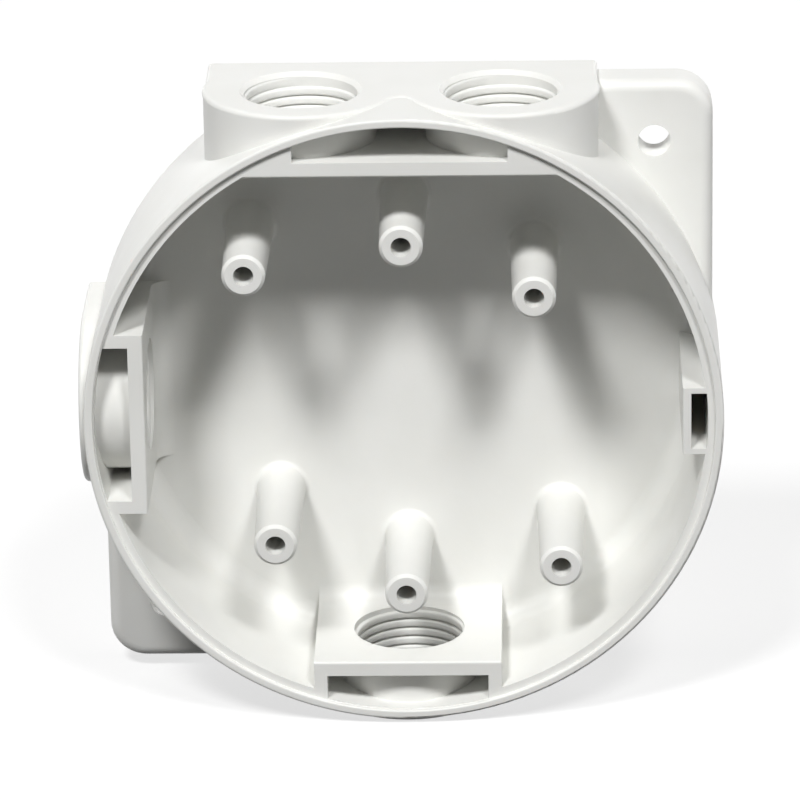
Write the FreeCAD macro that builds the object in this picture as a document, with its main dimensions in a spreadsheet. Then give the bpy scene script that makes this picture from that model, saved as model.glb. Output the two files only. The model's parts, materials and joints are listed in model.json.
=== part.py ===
import FreeCAD, Part
import math
import os
import types

import Sketcher

# Round surface-mount back box, moulded in one piece.
# The origin is at the centre of the flat back. The open front faces -Y, +Z is up and +X is to the right.

SIZES = [
    # The cup and its rim
    ("cup_radius", 60.2),
    ("cup_depth", 34.8),
    ("lip_wall", 1.7),
    ("ledge_width", 1.5),
    ("lip_height", 0.9),
    ("lip_outer_round", 0.5),
    ("lip_inner_round", 0.35),
    ("floor_thickness", 3.0),
    ("floor_fillet", 4.0),
    ("wall_draft", 0.5),
    # The outer bosses
    ("twin_offset", 18.7),
    ("twin_rise", 0.3),
    ("twin_front_gap", 1.5),
    ("twin_side_cut", 0.5),
    ("twin_valley_round", 2.2),
    ("single_half_width", 16.7),
    ("single_rise", 1.0),
    ("boss_edge_round", 0.9),
    # The hubs and their threaded holes
    ("hub_set_back", 0.6),
    ("hub_radius", 14.1),
    ("thread_radius", 10.668),
    ("mouth_chamfer", 0.85),
    # The flat inner walls and the cores behind them
    ("flat_wall_inset", 8.3),
    ("flat_wall", 2.85),
    ("frame_side_wall", 2.5),
    ("frame_foot_round", 3.5),
    ("core_half_width", 15.4),
    ("twin_core_half_width", 20.0),
    ("core_skin", 1.9),
    ("inner_edge_round", 0.45),
    # The blind core on the right
    ("blind_inset", 4.6),
    ("blind_wall", 1.6),
    ("blind_side_wall", 1.05),
    ("blind_core_half_width", 5.55),
    ("blind_core_step", 0.2),
    # The screw posts
    ("post_circle", 34.925),
    ("post_wide_inset", 15.33),
    ("post_set_back", 1.1),
    ("post_tip_radius", 4.1),
    ("post_draft", 0.55),
    ("post_bore_radius", 1.9),
    ("post_bore_depth", 24.0),
    ("post_tip_bevel", 0.6),
    ("post_foot_round", 1.0),
    # The mounting ears
    ("ear_inset", 1.5),
    ("ear_thickness", 7.5),
    ("ear_corner_radius", 7.0),
    ("ear_edge_round", 2.2),
    ("ear_hole_side_inset", 11.1),
    ("ear_hole_top_inset", 11.9),
    ("ear_hole_radius", 3.1),
]

NEAR = 1e-4
FULL_TURN = 360.0
EDGE_STEPS = 4


class Size:
    """A length with the expression that gives it in the document."""

    def __init__(self, text, value):
        self.text = text
        self.value = value

    def join(self, other, sign, value):
        return Size(f"({self.text} {sign} {as_size(other).text})", value)

    def __add__(self, other):
        return self.join(other, "+", self.value + as_size(other).value)

    def __sub__(self, other):
        return self.join(other, "-", self.value - as_size(other).value)

    def __mul__(self, other):
        return self.join(other, "*", self.value * as_size(other).value)

    def __truediv__(self, other):
        return self.join(other, "/", self.value / as_size(other).value)

    def __neg__(self):
        return self * -1.0


def as_size(number):
    if isinstance(number, Size):
        return number
    return Size(f"({number:g})", float(number))


def root(size):
    return Size(f"sqrt({size.text})", math.sqrt(size.value))


def other_leg(hypotenuse, leg):
    """The second short side of a right triangle."""
    return root(hypotenuse * hypotenuse - leg * leg)


def make_sheet(doc):
    """Writes the sizes to the sheet and returns them with the sizes that follow from them."""
    sheet = doc.addObject("Spreadsheet::Sheet", "Sizes")
    size = types.SimpleNamespace()
    for row, (alias, value) in enumerate(SIZES, start=1):
        sheet.set(f"A{row}", alias)
        sheet.set(f"B{row}", f"{value:g}")
        sheet.setAlias(f"B{row}", alias)
        setattr(size, alias, Size(f"Sizes.{alias}", value))
    doc.recompute()
    size.lip_inner_radius = size.cup_radius - size.lip_wall
    size.inner_radius = size.lip_inner_radius - size.ledge_width
    size.ledge_level = size.cup_depth - size.lip_height
    size.ledge_middle = size.inner_radius + size.ledge_width / 2
    size.flat_distance = size.inner_radius - size.flat_wall_inset
    size.blind_distance = size.inner_radius - size.blind_inset
    size.core_reach = size.cup_radius - size.core_skin
    size.hub_level = size.cup_depth / 2 - size.hub_set_back
    size.twin_reach = size.cup_radius + size.twin_rise
    size.single_reach = size.cup_radius + size.single_rise
    size.post_tip_level = size.cup_depth - size.post_set_back
    size.ear_reach = size.cup_radius - size.ear_inset
    size.ear_hole_across = size.ear_reach - size.ear_hole_side_inset
    size.ear_hole_up = size.ear_reach - size.ear_hole_top_inset
    return size


def bind(thing, path, size):
    thing.setExpression(path, as_size(size).text)


def add_sketch(body, name, plane, offset=0.0):
    """A sketch on one of the body's own planes, moved along the plane's normal by offset."""
    sketch = body.newObject("Sketcher::SketchObject", name)
    support = [item for item in body.Origin.OriginFeatures if item.Role == plane][0]
    sketch.AttachmentSupport = [(support, "")]
    sketch.MapMode = "FlatFace"
    height = as_size(offset)
    sketch.AttachmentOffset = FreeCAD.Placement(FreeCAD.Vector(0, 0, height.value), FreeCAD.Rotation())
    bind(sketch, "AttachmentOffset.Base.z", height)
    return sketch


def fix(sketch, kind, size, *places):
    """Adds a dimension to the sketch and binds it to its size."""
    index = sketch.addConstraint(Sketcher.Constraint(kind, *places, as_size(size).value))
    bind(sketch, f"Constraints[{index}]", size)


def fix_point(sketch, item, spot, across, up):
    fix(sketch, "DistanceX", across, -1, 1, item, spot)
    fix(sketch, "DistanceY", up, -1, 1, item, spot)


def add_circle(sketch, across, up, radius):
    centre = FreeCAD.Vector(as_size(across).value, as_size(up).value, 0)
    item = sketch.addGeometry(Part.Circle(centre, FreeCAD.Vector(0, 0, 1), radius.value))
    fix(sketch, "Radius", radius, item)
    fix_point(sketch, item, 3, across, up)


def make_arc(start, end, centre, turns_left):
    first, last = (start, end) if turns_left else (end, start)
    first_angle = math.atan2(first.y - centre.y, first.x - centre.x)
    last_angle = math.atan2(last.y - centre.y, last.x - centre.x)
    circle = Part.Circle(centre, FreeCAD.Vector(0, 0, 1), (start - centre).Length)
    return Part.ArcOfCircle(circle, first_angle, last_angle)


def arc_centre(start, end, radius, turns_left):
    """The centre of an arc under half a turn, on the left or the right of the way travelled."""
    chord = end - start
    rise = math.sqrt(radius * radius - chord.Length * chord.Length / 4)
    left = FreeCAD.Vector(-chord.y, chord.x, 0).normalize()
    return start + chord / 2 + left * (rise if turns_left else -rise)


class Arc:
    """A round side of an outline, by its radius."""

    def __init__(self, radius, turns_left=True):
        self.radius = radius
        self.turns_left = turns_left

    def shape(self, start, end):
        return make_arc(start, end, arc_centre(start, end, self.radius.value, self.turns_left), self.turns_left)

    def hold(self, sketch, item, corner):
        fix(sketch, "Radius", self.radius, item)


class HalfTurn:
    """A round side of half a turn, whose centre lies level with its ends."""

    def __init__(self, across_line, turns_left=True):
        self.across_line = across_line
        self.turns_left = turns_left

    def shape(self, start, end):
        return make_arc(start, end, (start + end) / 2, self.turns_left)

    def hold(self, sketch, item, corner):
        if self.across_line:
            fix(sketch, "DistanceY", corner[1], -1, 1, item, 3)
        else:
            fix(sketch, "DistanceX", corner[0], -1, 1, item, 3)


def add_outline(sketch, corners, round_sides):
    """A closed outline. round_sides gives the round side that starts at a corner, by its index."""
    spots = [FreeCAD.Vector(as_size(a).value, as_size(b).value, 0) for a, b in corners]
    starts = []
    ends = []
    for index, start in enumerate(spots):
        end = spots[(index + 1) % len(spots)]
        side = round_sides.get(index)
        shape = side.shape(start, end) if side else Part.LineSegment(start, end)
        item = sketch.addGeometry(shape)
        forward = side is None or side.turns_left
        starts.append((item, 1 if forward else 2))
        ends.append((item, 2 if forward else 1))
    for index, end in enumerate(ends):
        sketch.addConstraint(Sketcher.Constraint("Coincident", *end, *starts[(index + 1) % len(spots)]))
    for start, corner in zip(starts, corners):
        fix_point(sketch, *start, *corner)
    for index, side in round_sides.items():
        side.hold(sketch, starts[index][0], corners[index])


def add_pad(body, name, sketch, length, backwards=False):
    pad = body.newObject("PartDesign::Pad", name)
    pad.Profile = sketch
    pad.Reversed = backwards
    bind(pad, "Length", length)
    return pad


def add_pocket(body, name, sketch, length, backwards=False):
    """A pocket, which has to take material away."""
    body.Document.recompute()
    before = body.Tip.Shape.Volume
    pocket = body.newObject("PartDesign::Pocket", name)
    pocket.Profile = sketch
    pocket.Reversed = backwards
    bind(pocket, "Length", length)
    body.Document.recompute()
    if not pocket.Shape.Volume < before:
        raise ValueError(f"{name} cuts nothing")


def add_turned(body, kind, name, sketch):
    turned = body.newObject(kind, name)
    turned.Profile = sketch
    turned.ReferenceAxis = (sketch, ["V_Axis"])
    turned.Angle = FULL_TURN


def add_edge_feature(body, kind, name, wanted, path, size):
    """A fillet or chamfer on the edges of the model so far that the test picks out."""
    body.Document.recompute()
    base = body.Tip
    names = [f"Edge{index}" for index, edge in enumerate(base.Shape.Edges, start=1) if wanted(edge)]
    if not names:
        raise ValueError(f"{name} finds no edge")
    feature = body.newObject(kind, name)
    feature.Base = (base, names)
    bind(feature, path, size)


def edge_points(edge):
    first, last = edge.ParameterRange
    return [edge.valueAt(first + (last - first) * step / EDGE_STEPS) for step in range(EDGE_STEPS + 1)]


def lies_flat(edge, axis, level):
    """True when the whole edge is at one level along an axis."""
    return all(abs(getattr(point, axis) - level) < NEAR for point in edge_points(edge))


def is_circle(edge, radius):
    return isinstance(edge.Curve, Part.Circle) and abs(edge.Curve.Radius - radius) < NEAR


# The outer form

def add_ears(body, size):
    """Two ears at the back, each a square reaching to the middle of the box."""
    corner = size.ear_reach - size.ear_corner_radius
    for name, side in (("upper_ear", 1.0), ("lower_ear", -1.0)):
        sketch = add_sketch(body, f"{name}_outline", "XZ_Plane")
        add_outline(sketch, [
            (0, 0),
            (size.ear_reach * side, 0),
            (size.ear_reach * side, corner * side),
            (corner * side, size.ear_reach * side),
            (0, size.ear_reach * side),
        ], {2: Arc(size.ear_corner_radius)})
        add_pad(body, name, sketch, size.ear_thickness)


def round_ear_edges(body, size):
    front = -size.ear_thickness.value
    reach = size.ear_reach.value

    def on_rim(edge):
        if not lies_flat(edge, "y", front):
            return False
        middle = edge_points(edge)[EDGE_STEPS // 2]
        straight = any(abs(abs(value) - reach) < NEAR for value in (middle.x, middle.z))
        return straight or is_circle(edge, size.ear_corner_radius.value)

    add_edge_feature(body, "PartDesign::Fillet", "ear_edge", on_rim, "Radius", size.ear_edge_round)


def add_twin_boss(body, size):
    """The upper boss, whose front is two round lobes with a round valley between them."""
    sketch = add_sketch(body, "twin_boss_outline", "XY_Plane")
    radius = size.twin_offset
    half = radius * 2 - size.twin_side_cut
    reach = radius + size.twin_valley_round
    lobe_middle = size.twin_front_gap + radius - size.cup_depth
    corner = lobe_middle - other_leg(radius, radius - size.twin_side_cut)
    valley_edge = radius * size.twin_valley_round / reach
    valley_level = lobe_middle - other_leg(reach, radius) * radius / reach
    lobe = Arc(radius)
    add_outline(sketch, [
        (half, 0),
        (-half, 0),
        (-half, corner),
        (-valley_edge, valley_level),
        (valley_edge, valley_level),
        (half, corner),
    ], {2: lobe, 3: Arc(size.twin_valley_round, False), 4: lobe})
    add_pad(body, "twin_boss", sketch, size.twin_reach)


def add_bottom_boss(body, size):
    sketch = add_sketch(body, "bottom_boss_outline", "XY_Plane")
    half = size.single_half_width
    level = -size.hub_level
    add_outline(sketch, [(half, 0), (-half, 0), (-half, level), (half, level)], {2: HalfTurn(True)})
    add_pad(body, "bottom_boss", sketch, size.single_reach, backwards=True)


def add_left_boss(body, size):
    sketch = add_sketch(body, "left_boss_outline", "YZ_Plane")
    half = size.single_half_width
    level = -size.hub_level
    add_outline(sketch, [(0, half), (0, -half), (level, -half), (level, half)], {2: HalfTurn(False, False)})
    add_pad(body, "left_boss", sketch, size.single_reach, backwards=True)


def boss_levels(size):
    """The axis and the level of each flat boss face."""
    return (("z", size.twin_reach.value), ("z", -size.single_reach.value), ("x", -size.single_reach.value))


def round_boss_edges(body, size):
    def on_boss_face(edge):
        on_face = any(lies_flat(edge, axis, level) for axis, level in boss_levels(size))
        return on_face and not lies_flat(edge, "y", 0)

    add_edge_feature(body, "PartDesign::Fillet", "boss_edge", on_boss_face, "Radius", size.boss_edge_round)


def add_cup(body, size):
    sketch = add_sketch(body, "cup_outline", "XY_Plane")
    front = -size.cup_depth
    add_outline(sketch, [
        (0, 0),
        (0, front),
        (size.cup_radius - size.lip_outer_round, front),
        (size.cup_radius, front + size.lip_outer_round),
        (size.cup_radius, 0),
    ], {2: Arc(size.lip_outer_round)})
    add_turned(body, "PartDesign::Revolution", "cup", sketch)


# The inside

def cut_cavity(body, size):
    """The hollow of the cup, and the space before its rim, so that no boss reaches in front of it."""
    sketch = add_sketch(body, "cavity_outline", "XY_Plane")
    front = -size.cup_depth
    ahead = front - size.single_half_width
    floor = -size.floor_thickness
    foot = size.inner_radius - size.wall_draft
    add_outline(sketch, [
        (0, ahead),
        (size.cup_radius, ahead),
        (size.cup_radius, front),
        (size.lip_inner_radius + size.lip_inner_round, front),
        (size.lip_inner_radius, front + size.lip_inner_round),
        (size.lip_inner_radius, -size.ledge_level),
        (size.inner_radius, -size.ledge_level),
        (foot, floor - size.floor_fillet),
        (foot - size.floor_fillet, floor),
        (0, floor),
    ], {3: Arc(size.lip_inner_round, False), 7: Arc(size.floor_fillet)})
    add_turned(body, "PartDesign::Groove", "cavity", sketch)


def add_twin_wall(body, size):
    """The flat wall across the top of the cup, filled out to the ledge."""
    sketch = add_sketch(body, "twin_wall_outline", "XZ_Plane")
    half = other_leg(size.ledge_middle, size.flat_distance)
    add_outline(sketch, [(-half, size.flat_distance), (half, size.flat_distance)], {1: Arc(size.ledge_middle)})
    add_pad(body, "twin_wall", sketch, size.ledge_level)


def block_corners(side, near, reach, half):
    """The corners of a block from near to the circle of the reach, in order round the block."""
    far = other_leg(reach, half)
    if side == "top":
        return [(half, near), (half, far), (-half, far), (-half, near)]
    if side == "bottom":
        return [(-half, -near), (-half, -far), (half, -far), (half, -near)]
    if side == "left":
        return [(-near, half), (-far, half), (-far, -half), (-near, -half)]
    return [(near, -half), (far, -half), (far, half), (near, half)]


def add_frame(body, size, side, near, half):
    """A flat inner wall with its two side walls."""
    sketch = add_sketch(body, f"{side}_frame_outline", "XZ_Plane")
    corners = block_corners(side, near, size.ledge_middle, half)
    add_outline(sketch, corners, {1: Arc(size.ledge_middle)})
    add_pad(body, f"{side}_frame", sketch, size.ledge_level)


def add_frame_foot(body, size, side, half):
    """A hollow round in the corner between the floor and a flat inner wall, as long as the wall."""
    plane = "YZ_Plane" if side == "bottom" else "XY_Plane"
    sketch = add_sketch(body, f"{side}_foot_outline", plane, -half)
    wall = -size.flat_distance
    floor = -size.floor_thickness
    radius = size.frame_foot_round
    in_wall = wall - size.flat_wall / 2
    in_floor = floor / 2
    corners = [
        (wall, floor - radius),
        (wall + radius, floor),
        (wall + radius, in_floor),
        (in_wall, in_floor),
        (in_wall, floor - radius),
    ]
    turns_left = side == "bottom"
    if turns_left:
        corners = [(up, across) for across, up in corners]
    add_outline(sketch, corners, {0: Arc(radius, turns_left)})
    add_pad(body, f"{side}_foot", sketch, half * 2)


def cut_core(body, size, side, near, half, reach):
    """The hollow behind a flat inner wall, open to the front."""
    sketch = add_sketch(body, f"{side}_core_outline", "XZ_Plane", size.floor_thickness)
    corners = block_corners(side, near, reach, half)
    add_outline(sketch, corners, {1: Arc(reach)})
    add_pocket(body, f"{side}_core", sketch, size.cup_depth, backwards=True)


def add_hub(body, size, name, plane, middle, downwards):
    """The solid round a hole, from within the flat inner wall to within the outer wall."""
    start = size.flat_distance + size.flat_wall / 2
    end = size.cup_radius - size.core_skin / 2
    sketch = add_sketch(body, f"{name}_outline", plane, -start if downwards else start)
    radius = size.hub_radius
    back = size.floor_thickness / -2
    level = -size.hub_level
    if plane == "YZ_Plane":
        corners = [(back, radius), (back, -radius), (level, -radius), (level, radius)]
        front = HalfTurn(False, False)
    else:
        left = middle - radius
        right = middle + radius
        corners = [(right, back), (left, back), (left, level), (right, level)]
        front = HalfTurn(True)
    add_outline(sketch, corners, {2: front})
    add_pad(body, name, sketch, end - start, backwards=downwards)


def cut_thread_hole(body, size, name, plane, middle, reach, downwards):
    sketch = add_sketch(body, f"{name}_hole_outline", plane, -reach if downwards else reach)
    if plane == "YZ_Plane":
        add_circle(sketch, -size.hub_level, middle, size.thread_radius)
    else:
        add_circle(sketch, middle, -size.hub_level, size.thread_radius)
    depth = reach - size.flat_distance + size.flat_wall / 2
    add_pocket(body, f"{name}_hole", sketch, depth, backwards=downwards)


def widen_hole_mouths(body, size):
    def on_mouth(edge):
        on_face = any(lies_flat(edge, axis, level) for axis, level in boss_levels(size))
        return on_face and is_circle(edge, size.thread_radius.value)

    add_edge_feature(body, "PartDesign::Chamfer", "hole_mouth", on_mouth, "Size", size.mouth_chamfer)


def post_places(size):
    """The name and centre of each post. Two are on the upright and four on the diagonals."""
    near = size.post_circle / root(as_size(2))
    wide = (size.inner_radius - size.post_wide_inset) / root(as_size(2))
    middle = as_size(0)
    return [
        ("top_post", middle, size.post_circle),
        ("bottom_post", middle, -size.post_circle),
        ("upper_right_post", near, near),
        ("lower_left_post", -near, -near),
        ("upper_left_post", -wide, wide),
        ("lower_right_post", wide, -wide),
    ]


def add_post(body, size, name, across, up):
    """A post with a slight draft, turned about its own axis."""
    sketch = add_sketch(body, f"{name}_outline", "XY_Plane", up)
    tip = -size.post_tip_level
    foot = size.floor_thickness / -2
    tip_edge = size.post_tip_radius - size.post_tip_bevel
    add_outline(sketch, [
        (across, foot),
        (across, tip),
        (across + tip_edge, tip),
        (across + size.post_tip_radius, tip + size.post_tip_bevel),
        (across + size.post_tip_radius + size.post_draft, foot),
    ], {})
    post = body.newObject("PartDesign::Revolution", name)
    post.Profile = sketch
    post.ReferenceAxis = (sketch, ["Edge1"])
    post.Angle = FULL_TURN


def round_post_feet(body, size):
    floor = -size.floor_thickness.value
    widest = size.post_tip_radius.value + size.post_draft.value

    def on_foot(edge):
        small = isinstance(edge.Curve, Part.Circle) and edge.Curve.Radius < widest
        return small and lies_flat(edge, "y", floor)

    add_edge_feature(body, "PartDesign::Fillet", "post_foot", on_foot, "Radius", size.post_foot_round)


def cut_post_bores(body, size):
    sketch = add_sketch(body, "post_bore_outlines", "XZ_Plane", size.post_tip_level)
    for _, across, up in post_places(size):
        add_circle(sketch, across, up, size.post_bore_radius)
    add_pocket(body, "post_bores", sketch, size.post_bore_depth)


def cut_ear_holes(body, size):
    sketch = add_sketch(body, "ear_hole_outlines", "XZ_Plane", size.ear_thickness)
    for side in (1.0, -1.0):
        add_circle(sketch, size.ear_hole_across * side, size.ear_hole_up * side, size.ear_hole_radius)
    add_pocket(body, "ear_holes", sketch, size.ear_thickness)


def round_inner_edges(body, size):
    """Softens the front edges of the flat inner walls on the side of the cup."""
    flat = size.flat_distance.value
    blind = size.blind_distance.value
    walls = (("z", flat), ("z", -flat), ("x", -flat), ("x", blind))

    def on_inner_edge(edge):
        in_wall = any(lies_flat(edge, axis, level) for axis, level in walls)
        return in_wall and lies_flat(edge, "y", -size.ledge_level.value)

    add_edge_feature(body, "PartDesign::Fillet", "inner_edge", on_inner_edge, "Radius", size.inner_edge_round)


def build_box(doc, size):
    body = doc.addObject("PartDesign::Body", "box_body")
    body.Label = "box_body"
    add_ears(body, size)
    add_twin_boss(body, size)
    add_bottom_boss(body, size)
    add_left_boss(body, size)
    round_ear_edges(body, size)
    round_boss_edges(body, size)
    add_cup(body, size)
    cut_cavity(body, size)

    frame_half = size.core_half_width + size.frame_side_wall
    blind_half = size.blind_core_half_width + size.blind_side_wall
    add_twin_wall(body, size)
    add_frame(body, size, "left", size.flat_distance, frame_half)
    add_frame(body, size, "bottom", size.flat_distance, frame_half)
    add_frame(body, size, "right", size.blind_distance, blind_half)
    add_frame_foot(body, size, "left", frame_half)
    add_frame_foot(body, size, "bottom", frame_half)

    core_near = size.flat_distance + size.flat_wall
    blind_near = size.blind_distance + size.blind_wall
    blind_reach = size.inner_radius + size.blind_core_step
    cut_core(body, size, "top", core_near, size.twin_core_half_width, size.core_reach)
    cut_core(body, size, "left", core_near, size.core_half_width, size.core_reach)
    cut_core(body, size, "bottom", core_near, size.core_half_width, size.core_reach)
    cut_core(body, size, "right", blind_near, size.blind_core_half_width, blind_reach)

    middle = as_size(0)
    hubs = (
        ("upper_left_hub", "XY_Plane", -size.twin_offset, size.twin_reach, False),
        ("upper_right_hub", "XY_Plane", size.twin_offset, size.twin_reach, False),
        ("bottom_hub", "XY_Plane", middle, size.single_reach, True),
        ("left_hub", "YZ_Plane", middle, size.single_reach, True),
    )
    for name, plane, offset, _, downwards in hubs:
        add_hub(body, size, name, plane, offset, downwards)
    for name, plane, offset, reach, downwards in hubs:
        cut_thread_hole(body, size, name, plane, offset, reach, downwards)
    widen_hole_mouths(body, size)

    for name, across, up in post_places(size):
        add_post(body, size, name, across, up)
    round_post_feet(body, size)
    cut_post_bores(body, size)
    cut_ear_holes(body, size)
    round_inner_edges(body, size)
    body.Placement = FreeCAD.Placement()
    return body


def check_document(doc):
    """Stops with a message if any object has failed."""
    for item in doc.Objects:
        if "Invalid" in item.State or "Error" in item.State:
            raise ValueError(f"{item.Name} has failed: {item.State}")


def check_solid(body):
    shape = body.Shape
    if shape.isNull() or not shape.isValid():
        raise ValueError(f"{body.Label} has no valid shape")
    if len(shape.Solids) != 1:
        raise ValueError(f"{body.Label} has {len(shape.Solids)} solids")


def main():
    os.makedirs("parts", exist_ok=True)
    doc = FreeCAD.newDocument("back_box")
    size = make_sheet(doc)
    body = build_box(doc, size)
    doc.recompute()
    check_document(doc)
    check_solid(body)
    body.Shape.exportStep("parts/box_body.step")
    box = body.Shape.optimalBoundingBox()
    print(f"box_body {box.XLength:.2f} x {box.YLength:.2f} x {box.ZLength:.2f} mm")
    print(f"volume {body.Shape.Volume:.0f} mm3, {len(body.Shape.Faces)} faces")


main()
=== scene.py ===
import json
import math

import bpy
from mathutils import Matrix, Vector


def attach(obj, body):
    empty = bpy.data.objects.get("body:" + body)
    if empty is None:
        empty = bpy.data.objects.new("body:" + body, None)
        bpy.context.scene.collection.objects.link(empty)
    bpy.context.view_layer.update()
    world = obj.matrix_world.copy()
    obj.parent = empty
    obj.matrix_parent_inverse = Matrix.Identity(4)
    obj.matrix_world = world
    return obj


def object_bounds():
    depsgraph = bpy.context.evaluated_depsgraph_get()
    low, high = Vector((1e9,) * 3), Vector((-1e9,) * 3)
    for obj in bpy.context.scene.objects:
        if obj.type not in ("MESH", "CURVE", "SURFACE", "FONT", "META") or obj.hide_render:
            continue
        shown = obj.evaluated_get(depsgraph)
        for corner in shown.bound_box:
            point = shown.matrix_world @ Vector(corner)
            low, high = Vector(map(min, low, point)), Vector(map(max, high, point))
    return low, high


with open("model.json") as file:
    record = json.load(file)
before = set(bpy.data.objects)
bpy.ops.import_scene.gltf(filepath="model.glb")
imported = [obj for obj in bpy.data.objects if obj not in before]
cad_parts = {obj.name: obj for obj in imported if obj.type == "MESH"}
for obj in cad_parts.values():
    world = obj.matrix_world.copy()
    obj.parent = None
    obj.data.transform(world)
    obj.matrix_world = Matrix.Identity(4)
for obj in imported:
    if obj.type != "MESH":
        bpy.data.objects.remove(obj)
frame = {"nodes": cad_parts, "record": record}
cad_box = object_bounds()

MM = 0.001
INCH = 25.4 * MM
BODY = "root"
BOX_NODE = "box_body"
WHITE = (1.0, 1.0, 1.0, 1.0)

# The camera stands to the front, a little to the right and above, and looks at a point near the rim.
CAMERA_AZIMUTH = math.radians(1.57)
CAMERA_ELEVATION = math.radians(20.65)
CAMERA_ROLL = math.radians(0.97)
CAMERA_DISTANCE = 1097.6 * MM
CAMERA_LENS = 263.1
CAMERA_CLIP_START = 0.05
SENSOR_WIDTH = 36.0
AIM_RIGHT = -0.66 * MM
AIM_UP = 4.73 * MM

# The plastic varies between two tints and between two degrees of roughness.
TINT_DULL = (0.80, 0.80, 0.77, 1.0)
TINT_PALE = (0.835, 0.835, 0.81, 1.0)
ROUGHNESS_LOW = 0.33
ROUGHNESS_HIGH = 0.42
PLASTIC_IOR = 1.5
PLASTIC_SPECULAR = 0.3
SCATTER_WEIGHT = 0.12
SCATTER_RADIUS = (1.0, 0.9, 0.8)
SCATTER_SCALE = 1.2 * MM

# The noise that the tint, the roughness and the bumps follow, and how high the bumps are.
CLOUD_NOISE = 55.0
PATCH_NOISE = 120.0
PEEL_NOISE = 900.0
SWELL_NOISE = 90.0
NOISE_LOW = 0.3
NOISE_HIGH = 0.7
PEEL_STRENGTH = 0.10
PEEL_HEIGHT = 0.15 * MM
SWELL_STRENGTH = 0.12
SWELL_HEIGHT = 0.4 * MM

# The entries take a half-inch taper pipe thread. Its ridges are wide and blunt, with a narrow root
# between them. Both ends fade out over a part of a turn.
THREAD_PITCH = INCH / 14
THREAD_DEPTH = 0.60 * MM
THREAD_TAPER = 1 / 32
THREAD_TAPER_SHARE = 0.3
THREAD_STEPS = 120
THREAD_RUN_OUT = 0.3
THREAD_SINK = 0.05 * MM

# Each point across a ridge is a shift along the hole in pitches and a rise in depths. Below 0, the
# point is sunk into the wall of the hole.
THREAD_PROFILE = ((-0.52, -1), (-0.46, 0.0), (-0.40, 0.60), (-0.33, 0.90), (-0.18, 1.0), (0.0, 1.0),
                  (0.18, 1.0), (0.33, 0.90), (0.40, 0.60), (0.46, 0.0), (0.52, -1))

# The floor and the room look white to the camera and throw little light back at the part.
FLOOR_HALF = 6.0
FLOOR_GAP = 0.1 * MM
FLOOR_SEEN = (0.36, 0.36, 0.36, 1.0)
FLOOR_CAST = (0.10, 0.10, 0.10, 1.0)
FLOOR_ROUGHNESS = 0.8
FLOOR_GLOW = 0.68
ROOM_SEEN = 1.0
ROOM_FILL = 0.01

# A light flag is a pale disc across an entry.
FLAG_INSET = 0.5 * MM
FLAG_STEPS = 48
FLAG_COLOUR = (0.80, 0.80, 0.78, 1.0)

# Each lamp has a name, an azimuth and an elevation in degrees, a size in metres and a power in watts.
# Azimuth 0 is straight in front of the part, and it grows to the right.
LAMP_DISTANCE = 3.0
LAMPS = (
    ("left_lamp", -22.0, 50.0, 0.50, 61.0),
    ("right_lamp", 22.0, 50.0, 0.50, 42.0),
    ("left_side_lamp", -87.0, 6.0, 0.80, 12.0),
    ("right_side_lamp", 87.0, 6.0, 0.80, 18.0),
    ("left_back_lamp", -155.0, 8.0, 1.20, 44.0),
    ("right_back_lamp", 155.0, 8.0, 1.20, 36.0),
)
LAST_GLINT_AZIMUTH = 90.0


# Helpers

def mounts_of_kind(kind):
    return [mount for mount in frame["record"]["mounts"] if mount["kind"] == kind]


def add_object(name, verts, faces, material):
    mesh = bpy.data.meshes.new(name)
    mesh.from_pydata(verts, [], faces)
    mesh.materials.append(material)
    piece = bpy.data.objects.new(name, mesh)
    bpy.context.collection.objects.link(piece)
    return piece


def toward(azimuth, elevation):
    """The direction from the part to a place at this azimuth and elevation, both in radians."""
    return Vector((math.sin(azimuth) * math.cos(elevation),
                   -math.cos(azimuth) * math.cos(elevation),
                   math.sin(elevation)))


# Materials

def new_material(name):
    material = bpy.data.materials.new(name)
    material.use_nodes = True
    return material, material.node_tree.nodes["Principled BSDF"]


def add_noise(tree, coordinates, scale, detail=2.0, roughness=0.5):
    noise = tree.nodes.new("ShaderNodeTexNoise")
    noise.inputs["Scale"].default_value = scale
    noise.inputs["Detail"].default_value = detail
    noise.inputs["Roughness"].default_value = roughness
    tree.links.new(coordinates, noise.inputs["Vector"])
    return noise.outputs["Fac"]


def spread_noise(tree, noise, low, high):
    """The noise, spread from low to high."""
    node = tree.nodes.new("ShaderNodeMapRange")
    node.inputs["From Min"].default_value = NOISE_LOW
    node.inputs["From Max"].default_value = NOISE_HIGH
    node.inputs["To Min"].default_value = low
    node.inputs["To Max"].default_value = high
    tree.links.new(noise, node.inputs["Value"])
    return node.outputs["Result"]


def add_bump(tree, height, strength, distance):
    bump = tree.nodes.new("ShaderNodeBump")
    bump.inputs["Strength"].default_value = strength
    bump.inputs["Distance"].default_value = distance
    tree.links.new(height, bump.inputs["Height"])
    return bump


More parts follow.
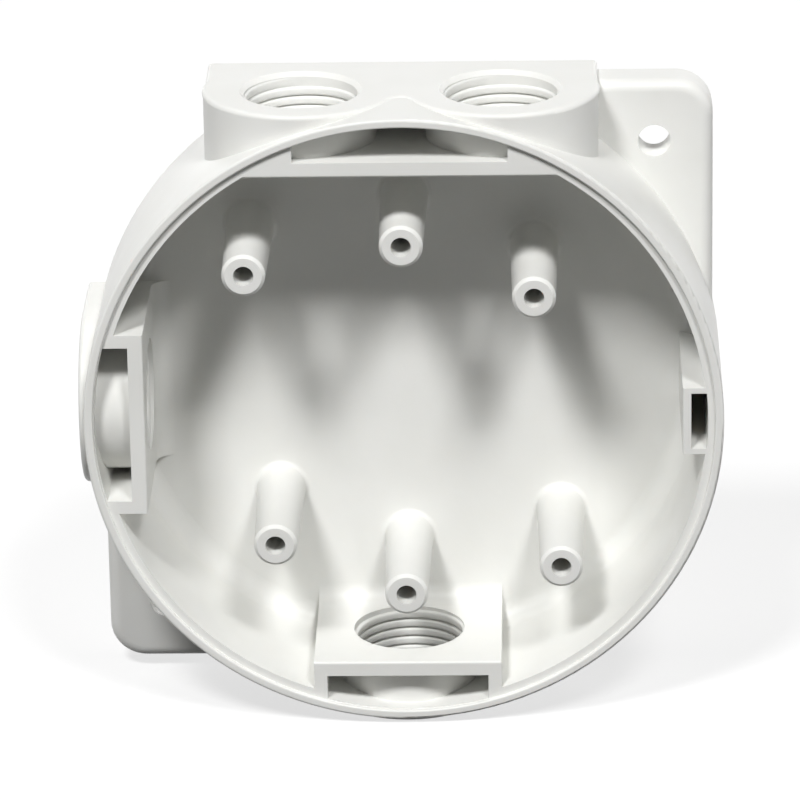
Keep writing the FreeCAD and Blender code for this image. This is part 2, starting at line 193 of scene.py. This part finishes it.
def moulded_plastic():
    """White moulded plastic: a satin skin with a faint cloudiness and a very fine orange peel."""
    material, shader = new_material("white_moulded_plastic")
    tree = material.node_tree
    place = tree.nodes.new("ShaderNodeTexCoord").outputs["Object"]

    cloud = add_noise(tree, place, CLOUD_NOISE, detail=3.0)
    tint = tree.nodes.new("ShaderNodeMix")
    tint.data_type = "RGBA"
    tint.inputs["A"].default_value = TINT_DULL
    tint.inputs["B"].default_value = TINT_PALE
    tree.links.new(spread_noise(tree, cloud, 0.0, 1.0), tint.inputs["Factor"])
    tree.links.new(tint.outputs["Result"], shader.inputs["Base Color"])

    patch = add_noise(tree, place, PATCH_NOISE)
    tree.links.new(spread_noise(tree, patch, ROUGHNESS_LOW, ROUGHNESS_HIGH), shader.inputs["Roughness"])

    peel = add_noise(tree, place, PEEL_NOISE, roughness=0.6)
    swell = add_noise(tree, place, SWELL_NOISE, detail=1.0)
    fine = add_bump(tree, peel, PEEL_STRENGTH, PEEL_HEIGHT)
    broad = add_bump(tree, swell, SWELL_STRENGTH, SWELL_HEIGHT)
    tree.links.new(fine.outputs["Normal"], broad.inputs["Normal"])
    tree.links.new(broad.outputs["Normal"], shader.inputs["Normal"])

    shader.inputs["IOR"].default_value = PLASTIC_IOR
    shader.inputs["Specular IOR Level"].default_value = PLASTIC_SPECULAR
    shader.inputs["Subsurface Weight"].default_value = SCATTER_WEIGHT
    shader.inputs["Subsurface Radius"].default_value = SCATTER_RADIUS
    shader.inputs["Subsurface Scale"].default_value = SCATTER_SCALE
    return material


def dress_box(material):
    for slot in frame["nodes"][BOX_NODE].material_slots:
        slot.material = material


# The threads in the entries

def thread_points(mount, step, steps):
    """The points across the ridge at one step of its winding, from the outer end of the hole inwards."""
    radius = mount["dims"]["r_mm"] * MM
    length = mount["dims"]["length_mm"] * MM
    centre = Vector(mount["pos_m"])
    out = Vector(mount["axis"])
    side = Vector((0.0, 1.0, 0.0))
    other = out.cross(side)
    angle = 2 * math.pi * step / THREAD_STEPS
    ray = side * math.cos(angle) + other * math.sin(angle)
    along = length / 2 - THREAD_PITCH / 2 - THREAD_PITCH * step / THREAD_STEPS
    narrowing = (length / 2 - along) * THREAD_TAPER * THREAD_TAPER_SHARE
    fade_steps = THREAD_RUN_OUT * THREAD_STEPS
    fade = min(1.0, step / fade_steps, (steps - step) / fade_steps)
    depth = (THREAD_DEPTH + narrowing) * fade
    points = []
    for shift, rise in THREAD_PROFILE:
        lift = rise * depth if rise >= 0 else -THREAD_SINK
        points.append(centre + out * (along + shift * THREAD_PITCH) + ray * (radius - lift))
    return points


def add_thread(mount, material):
    """A ridge that winds along a hole, fading out at both ends."""
    turns = mount["dims"]["length_mm"] * MM / THREAD_PITCH - 1
    steps = int(turns * THREAD_STEPS)
    verts = []
    for step in range(steps + 1):
        verts.extend(thread_points(mount, step, steps))
    across = len(THREAD_PROFILE)
    faces = []
    for step in range(steps):
        for k in range(across - 1):
            first = step * across + k
            second = first + across
            faces.append((first, first + 1, second + 1, second))
    piece = add_object("thread_" + mount["name"], verts, faces, material)
    piece.data.validate()
    piece.data.shade_smooth()
    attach(piece, BODY)


# The room

def seen_directly(tree):
    """1 for what the camera sees, straight or in a reflection or through glass, and 0 for scattered light."""
    rays = tree.nodes.new("ShaderNodeLightPath")
    total = rays.outputs["Is Camera Ray"]
    for name in ("Is Glossy Ray", "Is Transmission Ray"):
        add = tree.nodes.new("ShaderNodeMath")
        add.use_clamp = True
        tree.links.new(total, add.inputs[0])
        tree.links.new(rays.outputs[name], add.inputs[1])
        total = add.outputs["Value"]
    return total


def floor_material():
    """Glowing white for the camera, and a dull grey for the light that falls on the part."""
    material, shader = new_material("pale_floor")
    tree = material.node_tree
    shader.inputs["Base Color"].default_value = FLOOR_SEEN
    shader.inputs["Roughness"].default_value = FLOOR_ROUGHNESS
    shader.inputs["Specular IOR Level"].default_value = 0.0
    shader.inputs["Emission Color"].default_value = WHITE
    shader.inputs["Emission Strength"].default_value = FLOOR_GLOW
    dull = tree.nodes.new("ShaderNodeBsdfDiffuse")
    dull.inputs["Color"].default_value = FLOOR_CAST
    mix = tree.nodes.new("ShaderNodeMixShader")
    tree.links.new(seen_directly(tree), mix.inputs["Fac"])
    tree.links.new(dull.outputs["BSDF"], mix.inputs[1])
    tree.links.new(shader.outputs["BSDF"], mix.inputs[2])
    tree.links.new(mix.outputs["Shader"], tree.nodes["Material Output"].inputs["Surface"])
    return material


def add_floor():
    """A wide floor just under the part's lowest face."""
    level = cad_box[0][2] - FLOOR_GAP
    corners = [(-FLOOR_HALF, -FLOOR_HALF, level), (FLOOR_HALF, -FLOOR_HALF, level),
               (FLOOR_HALF, FLOOR_HALF, level), (-FLOOR_HALF, FLOOR_HALF, level)]
    floor = add_object("floor", corners, [(0, 1, 2, 3)], floor_material())


def add_light_flag(mount):
    """A small pale disc that keeps lamp light from shining through an entry. The camera doesn't see it.

    In an upper entry it is at the inner end. In the one at the side it is halfway along, so that the
    light from the front reaches the inner mouth.
    """
    out = Vector(mount["axis"])
    inner_end = mount["dims"]["length_mm"] * MM / 2
    depth = inner_end - FLAG_INSET if out.z > 0 else 0.0
    centre = Vector(mount["pos_m"]) - out * depth
    radius = mount["dims"]["r_mm"] * MM
    turn = out.to_track_quat("Z", "Y")
    rim = []
    for step in range(FLAG_STEPS):
        angle = 2 * math.pi * step / FLAG_STEPS
        rim.append(centre + turn @ Vector((radius * math.cos(angle), radius * math.sin(angle), 0.0)))
    name = "light_flag_" + mount["name"]
    material, shader = new_material(name)
    shader.inputs["Base Color"].default_value = FLAG_COLOUR
    shader.inputs["Roughness"].default_value = 1.0
    flag = add_object(name, rim, [tuple(range(FLAG_STEPS))], material)
    flag.visible_camera = False


def add_lamp(name, azimuth, elevation, size, power):
    """A square lamp that faces the part. One that stands behind the part leaves no glints on it."""
    lamp_data = bpy.data.lights.new(name, "AREA")
    lamp_data.shape = "SQUARE"
    lamp_data.size = size
    lamp_data.energy = power
    lamp = bpy.data.objects.new(name, lamp_data)
    away = toward(math.radians(azimuth), math.radians(elevation))
    lamp.location = away * LAMP_DISTANCE
    lamp.rotation_euler = away.to_track_quat("Z", "Y").to_euler()
    lamp.visible_glossy = abs(azimuth) < LAST_GLINT_AZIMUTH
    bpy.context.collection.objects.link(lamp)


def light_room():
    """The room is white where the camera sees it and gives off little light of its own."""
    world = bpy.data.worlds.new("room")
    bpy.context.scene.world = world
    world.use_nodes = True
    tree = world.node_tree
    background = tree.nodes["Background"]
    background.inputs["Color"].default_value = WHITE
    strength = tree.nodes.new("ShaderNodeMapRange")
    strength.inputs["To Min"].default_value = ROOM_FILL
    strength.inputs["To Max"].default_value = ROOM_SEEN
    tree.links.new(seen_directly(tree), strength.inputs["Value"])
    tree.links.new(strength.outputs["Result"], background.inputs["Strength"])


def add_camera():
    camera_data = bpy.data.cameras.new("camera")
    camera_data.lens = CAMERA_LENS
    camera_data.sensor_width = SENSOR_WIDTH
    camera_data.clip_start = CAMERA_CLIP_START
    camera = bpy.data.objects.new("camera", camera_data)
    bpy.context.collection.objects.link(camera)
    back = toward(CAMERA_AZIMUTH, CAMERA_ELEVATION)
    level = Vector((math.cos(CAMERA_AZIMUTH), math.sin(CAMERA_AZIMUTH), 0.0))
    upright = back.cross(level)
    right = level * math.cos(CAMERA_ROLL) - upright * math.sin(CAMERA_ROLL)
    up = level * math.sin(CAMERA_ROLL) + upright * math.cos(CAMERA_ROLL)
    rim = Vector((0.0, cad_box[0][1], 0.0))
    aim = rim + right * AIM_RIGHT + up * AIM_UP
    place = aim + back * CAMERA_DISTANCE
    turn = Matrix((right, up, back)).transposed()
    camera.matrix_world = Matrix.Translation(place) @ turn.to_4x4()
    bpy.context.scene.camera = camera


plastic = moulded_plastic()
dress_box(plastic)
entries = mounts_of_kind("threaded_hole")
for entry in entries:
    add_thread(entry, plastic)
for entry in entries:
    if entry["axis"][2] >= 0:
        add_light_flag(entry)
add_floor()
for lamp_values in LAMPS:
    add_lamp(*lamp_values)
light_room()
add_camera()
bpy.context.scene.view_settings.view_transform = "Standard"
